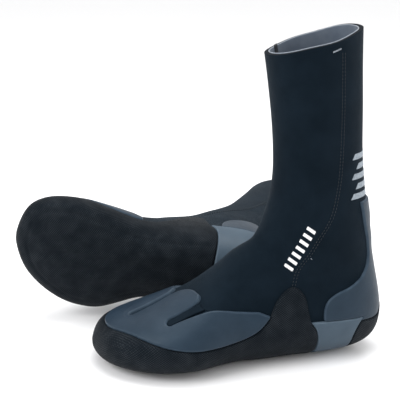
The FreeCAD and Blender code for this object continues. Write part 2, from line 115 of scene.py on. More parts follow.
top_of_foot = smooth_through([
    (0, 23.5), (3, 30), (9, 37), (20, 43), (36, toe_box_height - 7), (56, toe_box_height),
    (78, toe_box_height + 10), (100, instep_z - 53), (118, instep_z - 39),
    (instep_s, instep_z - 24)])
under_foot = smooth_through([
    (0, 16.5), (3, 13), (9, 9.5), (20, 7), (40, sock_clearance + 0.7), (64, sock_clearance),
    (300, sock_clearance)])
heel_profile = [
    (instep_x, sock_clearance), (100, sock_clearance), (60, sock_clearance),
    (36, sock_clearance + 0.4), (18, 6.6), (8 - heel_swell, 11.5), (1 - heel_swell, 21),
    (-heel_swell, 33), (3 - heel_swell, 50), (3.5, 70), (9, 92), (tendon_x_low, 115),
    (tendon_x_low + 1, instep_z)]
heel_reach = smooth_through([
    (math.degrees(math.atan2(instep_x - x, instep_z - z)), math.hypot(instep_x - x, instep_z - z))
    for x, z in heel_profile])
instep_reach = smooth_through([(0, 24), (22, 20), (45, 19), (68, 22), (90, 26)])
front_of_shaft = smooth_through([
    (instep_z, instep_x - 26), (instep_z + 22, instep_x - 33), (instep_z + 50, shin_x_at_ankle),
    (instep_z + 100, shin_x_mid), (cuff_height, shin_x_at_cuff)])
back_of_shaft = smooth_through([
    (instep_z, tendon_x_low + 1), (instep_z + 30, tendon_x_mid), (instep_z + 75, calf_x),
    (cuff_height, shin_x_at_cuff - cuff_depth)])

def half_width(toe_keys, waist, behind, heel, low_heel):
    return smooth_through(toe_keys + [
        (instep_s, waist), (instep_s + 25, behind), (instep_s + 48, low_heel),
        (instep_s + 62, heel), (instep_s + 78, heel - 1), (shaft_s, shaft_half_width + 0.5),
        (shaft_s + 40, shaft_half_width), (shaft_s + 90, shaft_half_width + 1.5),
        (cuff_s, cuff_width / 2)])

outer_half = half_width(
    [(0, 6), (3, 17), (9, 30), (20, 42), (38, 53), (60, ball_outer - 0.5), (82, ball_outer),
     (108, 51)], waist_outer, waist_outer - 1.5, heel_half_width, heel_half_width)
inner_half = half_width(
    [(0, 6), (3, 20), (9, 33), (20, 43), (38, 51), (60, ball_inner), (82, ball_inner - 3),
     (108, 44)], waist_inner, waist_inner + 0.3, heel_half_width, heel_half_width - 0.5)
toe_offset = smooth_through([(0, -14), (20, -11), (60, -4), (100, 0), (cuff_s, 0)])
lower_squareness = smooth_through([
    (0, 2.2), (60, 2.1), (instep_s, 2.25), (instep_s + 54, 2.2), (shaft_s, 2.2), (cuff_s, 2.0)])
upper_squareness = smooth_through([
    (0, 2.0), (60, 2.15), (instep_s, 1.9), (shaft_s, 2.0), (cuff_s, 2.0)])
widest_share = smooth_through([
    (0, 0.5), (30, 0.6), (80, 0.66), (instep_s, 0.7), (instep_s + 50, 0.6), (shaft_s, 0.5),
    (cuff_s, 0.5)])
ridge_shift = smooth_through([
    (0, 0), (60, -4), (instep_s, -6), (shaft_s, -1), (cuff_s, 0)])
print("foot is", round(2 * outer_half(82)), "wide at the ball and", round(top_of_foot(134)), "high")

# %% [markdown]
# The boot's skin is one surface over a stack of 30 closed rings: straight
# slices across the foot, slices that fan round the heel, and level slices up
# the shaft that tilt with the cuff.  Modelling it as one lofted skin, and not
# as a foot joined to a leg, keeps the instep and heel free of seams in shading.

# %% Rings round the boot
def quarter_of_ring(width, reach, power, lean, going_up, count):
    a = np.linspace(0, math.pi / 2, 61)
    c, s = (np.cos(a), np.sin(a)) if going_up else (np.sin(a), np.cos(a))
    c, s = np.maximum(c, 0), np.maximum(s, 0)
    fine = np.stack([width * c ** (2 / power) + lean * s * s, reach * s ** (2 / power)], 1)
    run = np.concatenate([[0], np.cumsum(np.linalg.norm(np.diff(fine, axis=0), axis=1))])
    want = run[-1] * np.arange(count) / count
    return np.stack([np.interp(want, run, fine[:, k]) for k in (0, 1)], 1)

def boot_ring(kind, v):
    if kind == "foot":
        s, start, way = v, (foot_length - v, instep_z), (0.0, -1.0)
        near, far = instep_z - top_of_foot(v), instep_z - under_foot(v)
    elif kind == "heel":
        a = math.radians(v)
        s, start, way = instep_s + v, (instep_x, instep_z), (-math.sin(a), -math.cos(a))
        near, far = instep_reach(v), heel_reach(v)
    else:
        z = instep_z + v
        s, start, way = shaft_s + v, (instep_x, z), (-1.0, 0.0)
        near, far = instep_x - front_of_shaft(z), instep_x - back_of_shaft(z)
    middle = near + (far - near) * widest_share(s)
    up, low, per = upper_squareness(s), lower_squareness(s), ring_points // 4
    flat = np.concatenate([
        quarter_of_ring(outer_half(s), near - middle, up, ridge_shift(s), True, per),
        quarter_of_ring(-inner_half(s), near - middle, up, ridge_shift(s), False, per),
        quarter_of_ring(-inner_half(s), far - middle, low, 0.0, True, per),
        quarter_of_ring(outer_half(s), far - middle, low, 0.0, False, per)])
    r = middle + flat[:, 1]
    ring = np.stack([start[0] + way[0] * r, flat[:, 0] + toe_offset(s), start[1] + way[1] * r], 1)
    if kind == "shaft":
        share = (v / (cuff_height - instep_z)) ** 1.5
        ring[:, 2] += (math.tan(math.radians(cuff_tilt)) * share
                       * (shin_x_at_cuff - cuff_depth / 2 - ring[:, 0]))
    return ring

rings = np.array(
    [boot_ring("foot", instep_s * (1 - math.cos(math.pi / 2 * i / 12)) ** 0.9) for i in range(13)]
    + [boot_ring("heel", 90.0 * i / 9) for i in range(1, 10)]
    + [boot_ring("shaft", (cuff_height - instep_z) * i / 8) for i in range(1, 9)])
cuff_up = np.cross(rings[-1, 8] - rings[-1, 0], rings[-1, 16] - rings[-1, 0])
cuff_up *= math.copysign(1 / np.linalg.norm(cuff_up), cuff_up[2])

def outward_of(rings):
    along = np.concatenate([rings[1:], rings[-1:]]) - np.concatenate([rings[:1], rings[:-1]])
    around = np.roll(rings, -1, axis=1) - np.roll(rings, 1, axis=1)
    out = np.cross(around, along)
    out[0] = (1.0, 0.0, 0.0)
    out[-1] -= (out[-1] @ cuff_up)[:, None] * cuff_up
    out /= np.linalg.norm(out, axis=2, keepdims=True)
    if out[12, 0] @ (rings[12, 0] - rings[12].mean(0)) < 0:
        out[1:] *= -1
    return out

outward = outward_of(rings)
under = outward * (np.maximum(0.0, -outward[:, :, 2:3]) ** 2)
print("rings", rings.shape[:2], "cuff faces", np.round(cuff_up, 3))

# %% [markdown]
# The rings are the control points of a smooth surface, the kind that Blender
# calls a NURBS surface.  Working out its points by hand gives two things that
# the built-in one doesn't: any fineness of mesh for any piece, and the outward
# direction at every point, so that a layer is the skin moved out by its
# thickness.

# %% Points on the skin
ring_count = len(rings)
last_t = ring_count - 3.0

def clamped_weights(t):
    knots = np.concatenate([[0] * 3, np.arange(ring_count - 2), [ring_count - 3] * 3]).astype(float)
    t = np.clip(t, 0, last_t - 1e-9)
    w = [((a <= t) & (t < b)).astype(float) for a, b in zip(knots, knots[1:])]
    for degree in (1, 2, 3):
        w = [np.where(knots[i + degree] > knots[i],
                      (t - knots[i]) / max(knots[i + degree] - knots[i], 1e-9), 0) * w[i]
             + np.where(knots[i + degree + 1] > knots[i + 1],
                        (knots[i + degree + 1] - t)
                        / max(knots[i + degree + 1] - knots[i + 1], 1e-9), 0) * w[i + 1]
             for i in range(len(w) - 1)]
    return np.array(w).T

def round_weights(t):
    k = np.floor(t).astype(int)
    f = t - k
    w = np.zeros((len(t), ring_points))
    for shift, value in ((-1, (1 - f) ** 3), (0, 3 * f ** 3 - 6 * f * f + 4),
                         (1, -3 * f ** 3 + 3 * f * f + 3 * f + 1), (2, f ** 3)):
        w[np.arange(len(t)), (k + shift) % ring_points] += value / 6
    return w

def skin_at(u, v):
    """Columns: point (3), outward (3), under-sole direction (3) for a grid of u and v."""
    wu, wv = clamped_weights(np.asarray(u)), round_weights(np.asarray(v))
    return np.concatenate([
        np.einsum("ui,vj,ijk->uvk", wu, wv, field) for field in (rings, outward, under)], 2)

fine_u = np.linspace(0, last_t, 1201)
walk = skin_at(fine_u, np.arange(0, ring_points, 2.0))[:, :, :3]
walked = np.concatenate([[0], np.cumsum(np.linalg.norm(np.diff(walk, axis=0), axis=2).mean(1))])
print("toe to cuff over the skin", round(walked[-1], 1), "mm")

def rows_between(u0, u1, step):
    a, b = np.interp([u0, u1], fine_u, walked)
    return np.interp(np.linspace(a, b, max(2, int(round((b - a) / step)) + 1)), walked, fine_u)

# %% [markdown]
# Worn neoprene is never dead smooth.  Shallow folds, deepest in front of the
# ankle and above the heel, and a barely seen swell over the shaft keep it soft.
# They belong to the skin, so every print, seam and strip follows them.

# %% Soft folds
def folds(base, out):
    """How far the skin stands out at each point, in mm."""
    x, y, z = base.T
    front = np.exp(-((z - 106) / 24) ** 2) * np.clip(out[:, 0], 0, 1)
    back = np.exp(-((z - 124) / 22) ** 2) * np.clip(-out[:, 0], 0, 1)
    swell = 0.4 * np.sin(z / 23 + x / 17 + 1.3) * np.sin(y / 19 - z / 41)
    return (0.5 * front * np.sin(z / 3.9 + y / 26) + 0.35 * back * np.sin(z / 4.3 - y / 22)
            + swell * np.clip((z - 60) / 30, 0, 1))

def folded_skin(u, v):
    """The skin as skin_at gives it, with the folds in it."""
    grid = skin_at(u, v)
    rise = folds(grid[:, :, :3].reshape(-1, 3), grid[:, :, 3:6].reshape(-1, 3))
    grid[:, :, :3] += grid[:, :, 3:6] * rise.reshape(grid.shape[:2])[:, :, None]
    return grid

print("deepest fold", round(float(np.abs(folds(rings.reshape(-1, 3), outward.reshape(-1, 3))).max()),
                            2), "mm")

# %% [markdown]
# A pattern cutter draws each panel as an outline.  Here an outline is a list of
# side-view points, straight where two points are given and smooth where there
# are more, and the helper measures how far any point lies inside it.

# %% Panel outlines
def smooth_line(points):
    p = np.array(points, float)
    if len(p) == 2:
        return p
    t = np.concatenate([[0], np.cumsum(np.linalg.norm(np.diff(p, axis=0), axis=1))])
    h, n = np.diff(t), len(p)
    a, r = np.eye(n), np.zeros((n, 2))
    for i in range(1, n - 1):
        a[i, i - 1:i + 2] = h[i - 1], 2 * (h[i - 1] + h[i]), h[i]
        r[i] = 6 * ((p[i + 1] - p[i]) / h[i] - (p[i] - p[i - 1]) / h[i - 1])
    m = np.linalg.solve(a, r)
    out = []
    for i in range(n - 1):
        s = np.linspace(0, 1, max(2, int(h[i] / 1.5) + 1), endpoint=False)[:, None]
        out.append((1 - s) * p[i] + s * p[i + 1] + h[i] ** 2 / 6 * (
            ((1 - s) ** 3 - (1 - s)) * m[i] + (s ** 3 - s) * m[i + 1]))
    return np.concatenate(out + [p[-1:]])

def outline(*runs):
    return np.concatenate([smooth_line(r)[:-1] for r in runs])

def distance_to_line(flat, line, closed=False):
    ends = np.roll(line, -1, axis=0) if closed else line[1:]
    starts = line if closed else line[:-1]
    best = np.full(len(flat), 1e9)
    for a, b in zip(starts, ends):
        ab = b - a
        t = np.clip((flat - a) @ ab / max(ab @ ab, 1e-12), 0, 1)
        best = np.minimum(best, np.hypot(*(flat - a - t[:, None] * ab).T))
    return best

def inside_by(flat, shape):
    """Positive inside the closed outline, negative outside, in mm."""
    odd = np.zeros(len(flat), bool)
    for a, b in zip(shape, np.roll(shape, -1, axis=0)):
        crosses = (a[1] > flat[:, 1]) != (b[1] > flat[:, 1])
        if crosses.any():
            x = a[0] + (flat[:, 1] - a[1]) / (b[1] - a[1] if b[1] != a[1] else 1e-9) * (b[0] - a[0])
            odd ^= crosses & (flat[:, 0] < x)
    return np.where(odd, 1.0, -1.0) * distance_to_line(flat, shape, closed=True)

shell_rear = [(80, -8), (72, 8), (71, 22), (74, 37), (79, 44.5)]
shell_tab = [(79, 44.5), (82, 57), (86, 72), (96, 80), (106, 75), (113, 67), (119, 54)]
shell_top = [(119, 54), (130, 42), (142, 36), (158, 33), (187, 32.5), (212, 34), (235, 37.5),
             (255, 39.5), (272, 37), (290, 32)]
heel_front = [(42, -8), (36, 12), (33, 30), (28, 41)]
heel_top = [(28, 41), (16, 40), (6, 42), (2, 50), (-12, 54)]
overlay_front = [(66, 44.5), (66.5, 52), (64, 63), (56, 71), (42, 77), (30, 84)]
strip_front = [(30, 84), (22, 95), (20, 108), (24, 130), (31, 158)]
seam_line = smooth_line([
    (98, 70), (95, 83), (91, 97), (82, 111), (74, 125), (67, 136), (61, 148), (57, 165),
    (54.5, 185), (54, 215), (54.5, 250), (56, 295), (58, 335)])

forefoot_outline = outline(shell_rear, shell_tab, shell_top, [(290, 32), (330, 32)],
                           [(330, 32), (330, -30)], [(330, -30), (80, -30)], [(80, -30), (80, -8)])
arch_outline = outline(heel_front, [(28, 41), (26, 44.5)], [(26, 44.5), (79, 44.5)],
                       shell_rear[::-1], [(80, -8), (80, -30)], [(80, -30), (42, -30)],
                       [(42, -30), (42, -8)])
heel_outline = outline(heel_front, heel_top, [(-12, 54), (-30, 54)], [(-30, 54), (-30, -30)],
                       [(-30, -30), (42, -30)], [(42, -30), (42, -8)])
overlay_outline = outline(overlay_front, strip_front, [(31, 158), (-30, 158)],
                          [(-30, 158), (-30, 54)], [(-30, 54), (-12, 54)], heel_top[::-1],
                          [(28, 41), (26, 44.5)], [(26, 44.5), (66, 44.5)])
above_shell = outline(shell_top, [(290, 32), (330, 32)], [(330, 32), (330, 150)],
                      [(330, 150), (119, 150)], [(119, 150), (119, 54)])
cap_front = outline([(214, -70), (208, -30), (203, -20), (202, -11), (197, -5), (190, 2), (185, 12),
                     (184, 22), (188, 30), (200, 37), (216, 44), (230, 70)],
                    [(230, 70), (230, 100)], [(230, 100), (330, 100)],
                    [(330, 100), (330, -100)], [(330, -100), (214, -100)], [(214, -100), (214, -70)])
outer_lobe = outline([(220, 53), (206, 54), (190, 61), (180, 65), (164, 64.5), (148, 62),
                      (134, 60), (119, 54)], [(119, 54), (119, 20)], [(119, 20), (230, 20)],
                     [(230, 20), (230, 53)], [(230, 53), (220, 53)])
inner_lobe = outline([(226, 62), (212, 63), (196, 61), (180, 57), (165, 51), (152, 42)],
                     [(152, 42), (152, 20)], [(152, 20), (236, 20)], [(236, 20), (236, 62)],
                     [(236, 62), (226, 62)])
print("panels drawn", len(forefoot_outline), "points round the forefoot shell")

# %% [markdown]
# Every layer is made by one helper.  It lays a fine grid on the skin where the
# panel is, cuts the grid along the panel's edge, and lifts it by the layer's
# thickness with the edge rolled over like moulded rubber.  The grid is also
# cut along a few lines just inside the edge, which is what gives the roll its
# roundness without a dense mesh everywhere.  The underside closes the piece.

# %% Cutting and lifting a layer
def cut_along(table, faces, column, level, snap):
    """Splits the faces where the column crosses the level."""
    value = table[:, column] - level
    value[np.abs(value) < snap] = 0.0
    extra, found = [], {}

    def crossing(a, b):
        key = (min(a, b), max(a, b))
        if key not in found:
            t = value[key[0]] / (value[key[0]] - value[key[1]])
            extra.append(table[key[0]] + t * (table[key[1]] - table[key[0]]))
            found[key] = len(table) + len(extra) - 1
        return found[key]

    done = []
    for face in faces:
        signs = [value[i] for i in face]
        if min(signs) >= 0 or max(signs) <= 0:
            done.append(face)
            continue
        high, low = [], []
        for k, i in enumerate(face):
            j = face[(k + 1) % len(face)]
            if signs[k] >= 0:
                high.append(i)
            if signs[k] <= 0:
                low.append(i)
            if signs[k] * value[j] < 0:
                c = crossing(i, j)
                high.append(c)
                low.append(c)
        done += [f for f in (high, low) if len(f) > 2]
    return (np.concatenate([table, np.array(extra)]) if extra else table), done

def surface_distance(depth, grid, wraps):
    """Turns a side-view distance into a distance over the skin."""
    if wraps:
        wide = np.concatenate([grid[:, -1:], grid, grid[:, :1]], 1)
        deep = np.concatenate([depth[:, -1:], depth, depth[:, :1]], 1)
        pu, pv = np.gradient(wide, axis=0)[:, 1:-1], np.gradient(wide, axis=1)[:, 1:-1]
        fu, fv = np.gradient(deep, axis=0)[:, 1:-1], np.gradient(deep, axis=1)[:, 1:-1]
    else:
        pu, pv = np.gradient(grid, axis=0), np.gradient(grid, axis=1)
        fu, fv = np.gradient(depth, axis=0), np.gradient(depth, axis=1)
    e, f, g = (pu * pu).sum(2), (pu * pv).sum(2), (pv * pv).sum(2)
    slope = (g * fu * fu - 2 * f * fu * fv + e * fv * fv) / np.maximum(e * g - f * f, 1e-9)
    return depth / np.clip(np.sqrt(np.maximum(slope, 0)), 0.25, 1.5)

scout_u, scout_v = rows_between(0, last_t, 3.0), np.arange(0, ring_points, 0.3)
scout = skin_at(scout_u, scout_v)

def panel_grid(region, step):
    """The part of the skin that the region covers, as a table of points and quads."""
    near = region(scout[:, :, :3].reshape(-1, 3)).reshape(scout.shape[:2]) > -4.0
    rows, columns = np.where(near.any(1))[0], near.any(0)
    u = rows_between(scout_u[max(rows[0] - 1, 0)], scout_u[min(rows[-1] + 1, len(scout_u) - 1)],
                     step)
    wraps = bool(columns.all())
    if wraps:
        v = 18.0 + np.arange(0, ring_points, ring_points / round(230.0 / step))
    else:
        n = len(columns)
        start = next(k for k in range(n) if columns[k] and not columns[k - 1])
        count = next(c for c in range(1, n + 1) if not columns[(start + c) % n])
        v0, v1 = scout_v[start] - 0.3, scout_v[start] + 0.3 * (count + 1)
        v = np.linspace(v0, v1, int((v1 - v0) * 230.0 / ring_points / step) + 2)
    grid = folded_skin(u, v)
    depth = region(grid[:, :, :3].reshape(-1, 3)).reshape(grid.shape[:2])
    depth = surface_distance(depth, grid[:, :, :3], wraps)
    table = np.concatenate([grid, depth[:, :, None]], 2).reshape(-1, 10)
    nu, nv = depth.shape
    i, j = np.meshgrid(np.arange(nu - 1), np.arange(nv if wraps else nv - 1), indexing="ij")
    k = (j + 1) % nv
    quads = np.stack([i * nv + j, (i + 1) * nv + j, (i + 1) * nv + k, i * nv + k], 2)
    quads = quads.reshape(-1, 4)
    toe = [list(range(nv))[::-1]] if wraps and u[0] == 0 else []
    return table, quads, toe

def layer(region, step, thickness, roll, sink=0.3, sole=0.0, shape=None):
    """Points, faces and the distance in from the edge of one lifted layer."""
    table, quads, toe = panel_grid(region, step)
    depth = table[:, 9][quads]
    whole = depth.min(1) >= roll
    partly = ~whole & (depth.max(1) > 0)
    faces = [list(q) for q in quads[partly]]
    for level in roll * np.array([0.0, 0.07, 0.22, 0.45, 0.72, 1.0]):
        table, faces = cut_along(table, faces, 9, level, 0.06)
    middle = [np.mean([table[i, 9] for i in f]) for f in faces]
    faces = [f for f, m in zip(faces, middle) if m > 0.0]
    faces += [list(q) for q in quads[whole]]
    if toe and table[toe[0], 9].min() > roll:
        faces += toe
    used = np.unique(np.concatenate([np.array(f) for f in faces]))
    place = np.full(len(table), -1)
    place[used] = np.arange(len(used))
    table, faces = table[used], [[int(place[i]) for i in f] for f in faces]
    edge = np.maximum(table[:, 9], 0)
    share = np.sqrt(np.maximum(0, 1 - (1 - np.minimum(edge / roll, 1)) ** 2))
    base, out, below = table[:, 0:3], table[:, 3:6], table[:, 6:9]
    height = thickness * share
    if shape is not None:
        height = height * shape(base, edge)
    top = base + height[:, None] * out + (sole * share)[:, None] * below
    bottom = base - sink * out
    n = len(base)
    rim = {}
    for f in faces:
        for a, b in zip(f, f[1:] + f[:1]):
            if rim.pop((b, a), None) is None:
                rim[(a, b)] = True
    sides = [[b, a, a + n, b + n] for a, b in rim]
    under_side = [[i + n for i in f[::-1]] for f in faces]
    points = np.concatenate([top, bottom])
    return points, faces + under_side + sides, np.concatenate([edge, edge])

# %% [markdown]
# One boot is shaped standing, then placed twice.  The right boot is the left
# one mirrored.  It is empty and lies down, so its soft shaft has flopped back
# at the ankle by a steady angle.  Where the ankle is comes from the packed
# model's own joint, so nothing is fitted by eye.

# %% Placing the pair
def turned(turn, rock, roll, base):
    t, r, w = (math.radians(a) for a in (turn, rock, roll))
    z = np.array([[math.cos(t), -math.sin(t), 0], [math.sin(t), math.cos(t), 0], [0, 0, 1]])
    y = np.array([[math.cos(r), 0, math.sin(r)], [0, 1, 0], [-math.sin(r), 0, math.cos(r)]])
    x = np.array([[1, 0, 0], [0, math.cos(w), -math.sin(w)], [0, math.sin(w), math.cos(w)]])
    return z @ y @ x @ np.array(base, float)

joint_at = {j["name"]: np.array(j["pos_m"]) * 1000 for j in frame["joints"] if "pos_m" in j}
stance = {
    "left": turned(left_turn, 0, 0, [[-1, 0, 0], [0, -1, 0], [0, 0, 1]]),
    "right": turned(0, right_rock, right_roll, [[-1, 0, 0], [0, 0, 1], [0, 1, 0]])}

def flopped(points, bend):
    dx, dz = points[:, 0] - ankle_x, points[:, 2] - ankle_z
    share = np.clip(np.degrees(np.arctan2(dz, np.abs(dx))) / gusset_angle, 0, 1)
    a = math.radians(bend) * share * share * (3 - 2 * share)
    return np.stack([ankle_x + dx * np.cos(a) - dz * np.sin(a), points[:, 1],
                     ankle_z + dx * np.sin(a) + dz * np.cos(a)], 1)

def to_scene(points, side):
    points = np.asarray(points, float).reshape(-1, 3)
    if side == "right":
        points = flopped(points, right_bend) * (1, -1, 1)
    spin = stance[side]
    ankle = joint_at[side + "_ankle"]
    return ((points - (ankle_x, 0, ankle_z)) @ spin.T + ankle) / 1000

print("ankles at", {k: np.round(v, 1).tolist() for k, v in joint_at.items()})

made = {}

def make_pair(name, points, faces, finish, rides, stands_for, edge=None, looks=None):
    """One piece on each boot.  finish is a material or a list; looks picks per face."""
    faces_out = None
    for side in ("left", "right"):
        at = to_scene(points, side)
        mesh = bpy.data.meshes.new(side + "_" + name)
        mesh.from_pydata(at.tolist(), [], faces if side == "left" else [f[::-1] for f in faces])
        for material in finish if isinstance(finish, list) else [finish]:
            mesh.materials.append(material)
        if looks is not None:
            mesh.polygons.foreach_set("material_index", np.asarray(looks, np.int32))
        mesh.polygons.foreach_set("use_smooth", np.ones(len(faces), bool))
        rest = mesh.attributes.new("on_boot", "FLOAT_VECTOR", "POINT")
        rest.data.foreach_set("vector", np.asarray(points, np.float32).ravel())
        if edge is not None:
            rim = mesh.attributes.new("from_edge", "FLOAT", "POINT")
            rim.data.foreach_set("value", np.asarray(edge, np.float32))
        mesh.update()
        if faces_out is None:
            normals = np.zeros(len(mesh.vertices) * 3)
            mesh.vertex_normals.foreach_get("vector", normals)
            faces_out = (normals.reshape(-1, 3) @ stance["left"]) ** 4
            faces_out /= np.maximum(faces_out.sum(1, keepdims=True), 1e-9)
        way = mesh.attributes.new("facing", "FLOAT_VECTOR", "POINT")
        way.data.foreach_set("vector", faces_out.astype(np.float32).ravel())
        piece = bpy.data.objects.new(side + "_" + name, mesh)
        bpy.context.scene.collection.objects.link(piece)
        if rides == "both":
            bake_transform(piece)
        else:
            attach(piece, side + "_" + rides)
        if stands_for:
            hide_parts(*[side + "_" + n for n in stands_for])
        made[piece.name] = piece
    print(name, len(points), "points", len(faces), "faces")

# %% [markdown]
# Every finish is a small recipe: a base colour that drifts a little, a
# roughness that drifts with it, and a relief.  The patterns are measured in
# millimetres on the boot itself, through a coordinate stored on each point, so
# that they stay on the material when the ankle bends.

# %% Recipe helpers
class Recipe:
    def __init__(self, name, roughness, sheen=0.0, coat=0.0, coat_roughness=0.3, specular=0.5):
        self.material = bpy.data.materials.new(name)
        self.material.use_nodes = True
        self.tree = self.material.node_tree
        self.surface = next(n for n in self.tree.nodes if n.type == "BSDF_PRINCIPLED")
        self.set("Roughness", roughness)
        self.set("Sheen Weight", sheen)
        self.set("Sheen Roughness", 0.45)
        self.set("Coat Weight", coat)
        self.set("Coat Roughness", coat_roughness)
        self.set("Specular IOR Level", specular)
        where = self.node("ShaderNodeAttribute")
        where.attribute_name = "on_boot"
        self.where = where.outputs["Vector"]
        split = self.node("ShaderNodeSeparateXYZ")
        self.join(self.where, split.inputs[0])
        self.x, self.y, self.z = split.outputs

    def set(self, socket, value):
        self.surface.inputs[socket].default_value = value

    def node(self, kind):
        return self.tree.nodes.new(kind)

    def join(self, a, b):
        self.tree.links.new(a, b)

    def sum(self, operation, a, b=None):
        n = self.node("ShaderNodeMath")
        n.operation = operation
        for socket, value in zip(n.inputs, (a, b)):
            if value is None:
                continue
            if isinstance(value, (int, float)):
                socket.default_value = value
            else:
                self.join(value, socket)
        return n.outputs[0]

    def mottle(self, size, detail=3.0, rough=0.55):
        n = self.node("ShaderNodeTexNoise")
        n.inputs["Scale"].default_value = 1.0 / size
        n.inputs["Detail"].default_value = detail
        n.inputs["Roughness"].default_value = rough
        self.join(self.where, n.inputs["Vector"])
        return n.outputs["Fac"]

    def pores(self, size):
        n = self.node("ShaderNodeTexVoronoi")
        n.inputs["Scale"].default_value = 1.0 / size
        self.join(self.where, n.inputs["Vector"])
        return n.outputs["Distance"]

    def wave(self, position, pitch, shift=None):
        turns = self.sum("MULTIPLY", position, 2 * math.pi / pitch)
        if shift is not None:
            turns = self.sum("ADD", turns, shift)
        return self.sum("SINE", turns)

    def facing(self):
        """How far each point faces sideways, fore and aft, and up or down."""
        attribute = self.node("ShaderNodeAttribute")
        attribute.attribute_name = "facing"
        split = self.node("ShaderNodeSeparateXYZ")
        self.join(attribute.outputs["Vector"], split.inputs[0])
        return split.outputs

    def woven(self, across, along):
        """Crossed ribs whose directions follow the side, front or sole."""
        fx, fy, fz = self.facing()
        side = self.sum("MULTIPLY", self.wave(self.x, across), self.wave(self.z, along))
        front = self.sum("MULTIPLY", self.wave(self.y, across), self.wave(self.z, along))
        flat = self.sum("MULTIPLY", self.wave(self.x, along), self.wave(self.y, across))
        total = self.sum("MULTIPLY", side, fy)
        total = self.sum("ADD", total, self.sum("MULTIPLY", front, fx))
        return self.sum("ADD", total, self.sum("MULTIPLY", flat, fz))

    def ramp(self, value, stops):
        n = self.node("ShaderNodeValToRGB")
        r = n.color_ramp
        while len(r.elements) < len(stops):
            r.elements.new(0.5)
        for e, (at, colour) in zip(r.elements, stops):
            e.position = at
            e.color = (*colour, 1)
        self.join(value, n.inputs[0])
        return n.outputs[0]

    def colour(self, value):
        self.join(value, self.surface.inputs["Base Color"])

    def blend_colour(self, share, a, b):
        n = self.node("ShaderNodeMix")
        n.data_type = "RGBA"
        self.join(share, n.inputs["Factor"])
        for name, value in (("A", a), ("B", b)):
            socket = [s for s in n.inputs if s.name == name and s.type == "RGBA"][0]
            if isinstance(value, tuple):
                socket.default_value = (*value, 1)
            else:
                self.join(value, socket)
        return [s for s in n.outputs if s.type == "RGBA"][0]

    def shine(self, value, low, high):
        n = self.node("ShaderNodeMapRange")
        n.inputs["To Min"].default_value = low
        n.inputs["To Max"].default_value = high
        self.join(value, n.inputs["Value"])
        self.join(n.outputs[0], self.surface.inputs["Roughness"])

    def relief(self, *heights):
        """Each height is (value, depth in mm)."""
        normal = None
        for value, depth in heights:
            n = self.node("ShaderNodeBump")
            n.inputs["Strength"].default_value = 1.0
            n.inputs["Distance"].default_value = depth / 1000
            self.join(value, n.inputs["Height"])
            if normal is not None:
                self.join(normal, n.inputs["Normal"])
            normal = n.outputs["Normal"]
        self.join(normal, self.surface.inputs["Normal"])

    def edge(self, width):
        """1 at the piece's rim, falling to 0 at that distance in."""
        n = self.node("ShaderNodeAttribute")
        n.attribute_name = "from_edge"
        m = self.node("ShaderNodeMapRange")
        m.inputs["From Max"].default_value = width
        m.inputs["To Min"].default_value = 1.0
        m.inputs["To Max"].default_value = 0.0
        self.join(n.outputs["Fac"], m.inputs["Value"])
        return m.outputs[0]

# %% [markdown]
# The boot's skin is black neoprene faced with nylon jersey: nearly matt, with a
# soft bloom where light grazes the fibres, and a knit too fine to count.  The
# knit is two crossed waves about a millimetre apart, with fine fuzz over them.

# %% Jersey-faced neoprene
jersey = Recipe("black_jersey_neoprene", 0.7, sheen=0.03, specular=0.09)
drift = jersey.mottle(26.0)
ribs = jersey.woven(1.1, 0.8)
shade = jersey.sum("ADD", drift, jersey.sum("MULTIPLY", ribs, 0.16))
jersey.colour(jersey.ramp(shade, [(0.25, (0.0022, 0.0044, 0.0074)), (0.75, (0.0046, 0.0084, 0.0134))]))
jersey.shine(jersey.mottle(7.0), 0.6, 0.8)
jersey.relief((ribs, 0.06), (jersey.mottle(0.5, 2.0), 0.05), (jersey.mottle(9.0, 2.0), 0.18))
jersey.set("Sheen Tint", (0.4, 0.6, 0.8, 1))
jersey.set("Specular Tint", (0.45, 0.75, 1.0, 1))

# %% [markdown]
# The rubber under and round the foot is moulded against a coarse cloth, so it
# carries the cloth's print: small crossed dents.  Its colour is painted paler on
# the raised points of the print, a painted highlight, and drifts at random.

# %% Cloth-printed rubber
tread = Recipe("cloth_printed_rubber", 0.62, sheen=0.01, specular=0.09)
tread.set("Specular Tint", (0.55, 0.78, 1.0, 1))
weave = tread.woven(2.6, 2.1)
# Painted highlight on the raised points of the weave, mixed with random tone.
weave_highlight_and_tone = tread.sum("ADD", tread.sum("MULTIPLY", weave, 0.5), tread.mottle(14.0, 4.0))
tread.colour(tread.ramp(weave_highlight_and_tone, [
    (0.2, (0.0018, 0.0028, 0.0042)), (0.55, (0.0044, 0.0060, 0.0082)),
    (0.95, (0.024, 0.027, 0.031))]))
tread.shine(tread.mottle(5.0), 0.52, 0.74)
tread.relief((weave, 0.24), (tread.mottle(0.8, 3.0), 0.14), (tread.mottle(11.0, 2.0), 0.25))

# %% [markdown]
# The toe lobes and heel panel are smooth slate-grey rubber.  Its skin is
# satin and slightly mottled from the mould.  Along the rolled rim its colour is
# painted lighter, in patches: a painted highlight where the rim catches the light.

# %% Smooth slate rubber
slate = Recipe("smooth_slate_rubber", 0.42, coat=0.03, coat_roughness=0.35, specular=0.22)
cloud = slate.mottle(20.0, 4.0)
body = slate.ramp(cloud, [(0.25, (0.0085, 0.0175, 0.0300)), (0.75, (0.0150, 0.0270, 0.0430))])
# Painted highlight: the colour turns lighter along the rim, in patches.
rim = slate.sum("MULTIPLY", slate.edge(2.2), slate.mottle(6.0))
slate.colour(slate.blend_colour(rim, body, (0.05, 0.075, 0.105)))
slate.set("Specular Tint", (0.7, 0.88, 1.0, 1))
slate.shine(slate.mottle(4.0), 0.36, 0.52)
slate.relief((slate.pores(0.9), 0.03), (slate.mottle(0.6, 3.0), 0.05), (slate.mottle(8.0, 2.0), 0.2))
